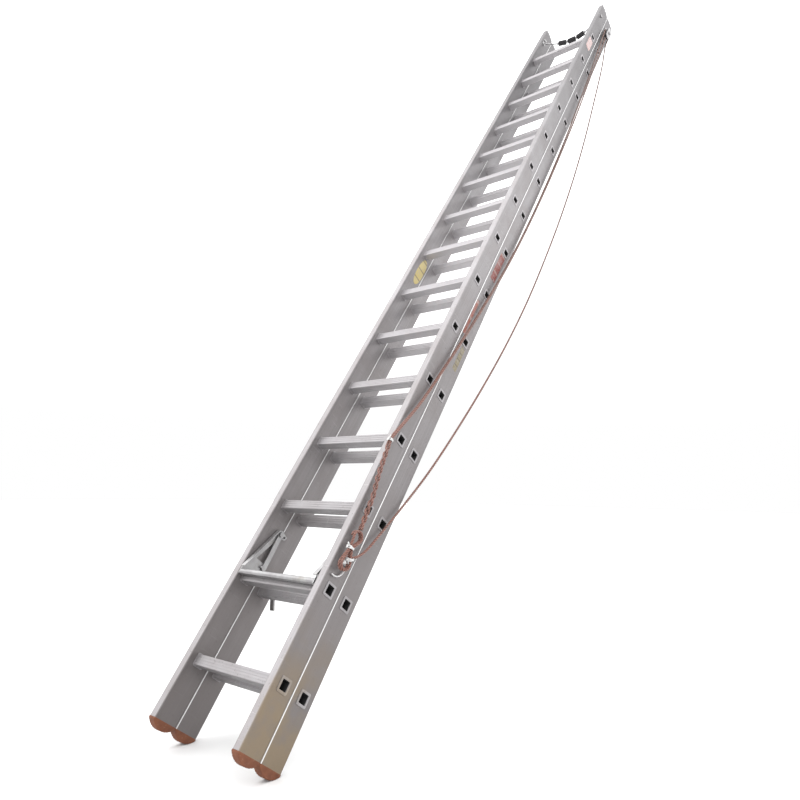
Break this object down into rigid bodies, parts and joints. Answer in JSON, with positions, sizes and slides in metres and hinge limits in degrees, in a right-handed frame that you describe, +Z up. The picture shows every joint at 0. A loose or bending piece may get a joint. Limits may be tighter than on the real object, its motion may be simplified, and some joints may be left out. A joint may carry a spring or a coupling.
{
  "type": "extension ladder",
  "caption": "Two-section rope-operated extension ladder with a sliding fly, gravity latch, pulley, bowed pole rest and crowned rubber feet, leaning as in use.",
  "frame": {"origin": "on the floor, midway between the two base feet, at the line where their crowned soles touch it", "axes": "+Z up; +X along the rungs, to the right as seen from the climbing side; +Y towards the wall it leans on. The stiles lie in planes parallel to YZ, 35 degrees from vertical: the sliding direction is (0, 0.5736, 0.8192)"},
  "size_m": [0.4003, 2.4207, 3.367],
  "materials": {
    "stile_aluminium": "mill finish, fine lengthwise extrusion lines",
    "rung_aluminium": "mill finish, grooved",
    "foot_rubber": "matt moulded",
    "cap_plastic": "moulded grey",
    "roller_rubber": "matt, ribbed",
    "zinc_steel": "zinc plated",
    "sheave_metal": "dark turned metal",
    "rope": "three-strand laid, slight sheen",
    "white_tape": "soft white tape",
    "sticker_red": "printed film, no lettering",
    "sticker_yellow": "printed film, no lettering"
  },
  "bodies": {
    "base_section": {"base_stile_left": "stile_aluminium", "base_stile_right": "stile_aluminium", "base_rung_01": "rung_aluminium", "base_rung_02": "rung_aluminium", "base_rung_03": "rung_aluminium", "base_rung_04": "rung_aluminium", "base_rung_05": "rung_aluminium", "base_rung_06": "rung_aluminium", "base_rung_07": "rung_aluminium", "base_rung_08": "rung_aluminium", "base_rung_09": "rung_aluminium", "base_rung_10": "rung_aluminium", "base_rung_11": "rung_aluminium", "base_rung_12": "rung_aluminium", "base_rung_13": "rung_aluminium", "base_rung_14": "rung_aluminium", "base_rung_15": "rung_aluminium", "base_foot_left": "foot_rubber", "base_foot_right": "foot_rubber", "base_caps": "cap_plastic", "base_stop": "zinc_steel", "pulley_bracket": "zinc_steel", "pulley_fasteners": "zinc_steel", "rope_line": "rope", "rope_dead_strand": "rope", "base_stickers": "sticker_red"},
    "fly_section": {"fly_stile_left": "stile_aluminium", "fly_stile_right": "stile_aluminium", "fly_rung_01": "rung_aluminium", "fly_rung_02": "rung_aluminium", "fly_rung_03": "rung_aluminium", "fly_rung_04": "rung_aluminium", "fly_rung_05": "rung_aluminium", "fly_rung_06": "rung_aluminium", "fly_rung_07": "rung_aluminium", "fly_rung_08": "rung_aluminium", "fly_rung_09": "rung_aluminium", "fly_rung_10": "rung_aluminium", "fly_rung_11": "rung_aluminium", "fly_rung_12": "rung_aluminium", "fly_rung_13": "rung_aluminium", "fly_rung_14": "rung_aluminium", "fly_rung_15": "rung_aluminium", "fly_foot_left": "foot_rubber", "fly_foot_right": "foot_rubber", "fly_caps": "cap_plastic", "latch_frame": "zinc_steel", "fly_fasteners": "zinc_steel", "rope_hook": "zinc_steel", "pole_rest_rod": "zinc_steel", "rope_hank": "rope", "rope_ties_lower": "white_tape", "fly_stickers": "sticker_yellow"},
    "latch_pawl_left": {"latch_pawl_left": "zinc_steel"},
    "latch_pawl_right": {"latch_pawl_right": "zinc_steel"},
    "sheave": {"pulley_sheave": "sheave_metal"},
    "roller_left": {"pole_roller_left": "roller_rubber"},
    "roller_middle": {"pole_roller_middle": "roller_rubber"},
    "roller_right": {"pole_roller_right": "roller_rubber"},
    "rope_tie": {"rope_tie_upper": "white_tape"}
  },
  "joints": [
    {"name": "fly_slide", "type": "slide", "parent": "base_section", "child": "fly_section", "axis": [0, 0.5736, 0.8192], "range_m": [0, 3], "deforming": ["rope_line", "rope_dead_strand"]},
    {"name": "latch_pawl_left_hinge", "type": "hinge", "parent": "fly_section", "child": "latch_pawl_left", "pos_m": [0, 0.27326, 0.52899], "axis": [1, 0, 0], "range_deg": [0, 60], "stiffness_Nm_per_rad": 0.05, "springref_deg": -57.3},
    {"name": "latch_pawl_right_hinge", "type": "hinge", "parent": "fly_section", "child": "latch_pawl_right", "pos_m": [0, 0.27326, 0.52899], "axis": [1, 0, 0], "range_deg": [0, 60], "stiffness_Nm_per_rad": 0.05, "springref_deg": -57.3},
    {"name": "sheave_spin", "type": "hinge", "parent": "base_section", "child": "sheave", "pos_m": [0.196, 2.18907, 3.18312], "axis": [1, 0, 0], "continuous": true},
    {"name": "roller_left_spin", "type": "hinge", "parent": "fly_section", "child": "roller_left", "pos_m": [-0.05418, 2.16564, 3.23004], "axis": [0.9824, 0.153, -0.1072], "continuous": true},
    {"name": "roller_middle_spin", "type": "hinge", "parent": "fly_section", "child": "roller_middle", "pos_m": [0, 2.16982, 3.22711], "axis": [1, 0, 0], "continuous": true},
    {"name": "roller_right_spin", "type": "hinge", "parent": "fly_section", "child": "roller_right", "pos_m": [0.05418, 2.16564, 3.23004], "axis": [0.9824, -0.153, 0.1072], "continuous": true},
    {"name": "rope_tie_slide", "type": "slide", "parent": "base_section", "child": "rope_tie", "axis": [0, 0.5736, 0.8192], "range_m": [0, 2.754]}
  ],
  "couplings": [
    {"joint": "sheave_spin", "follows": "fly_slide", "rad_per_m": -81.633},
    {"joint": "rope_tie_slide", "follows": "fly_slide", "ratio": 0.9147}
  ]
}
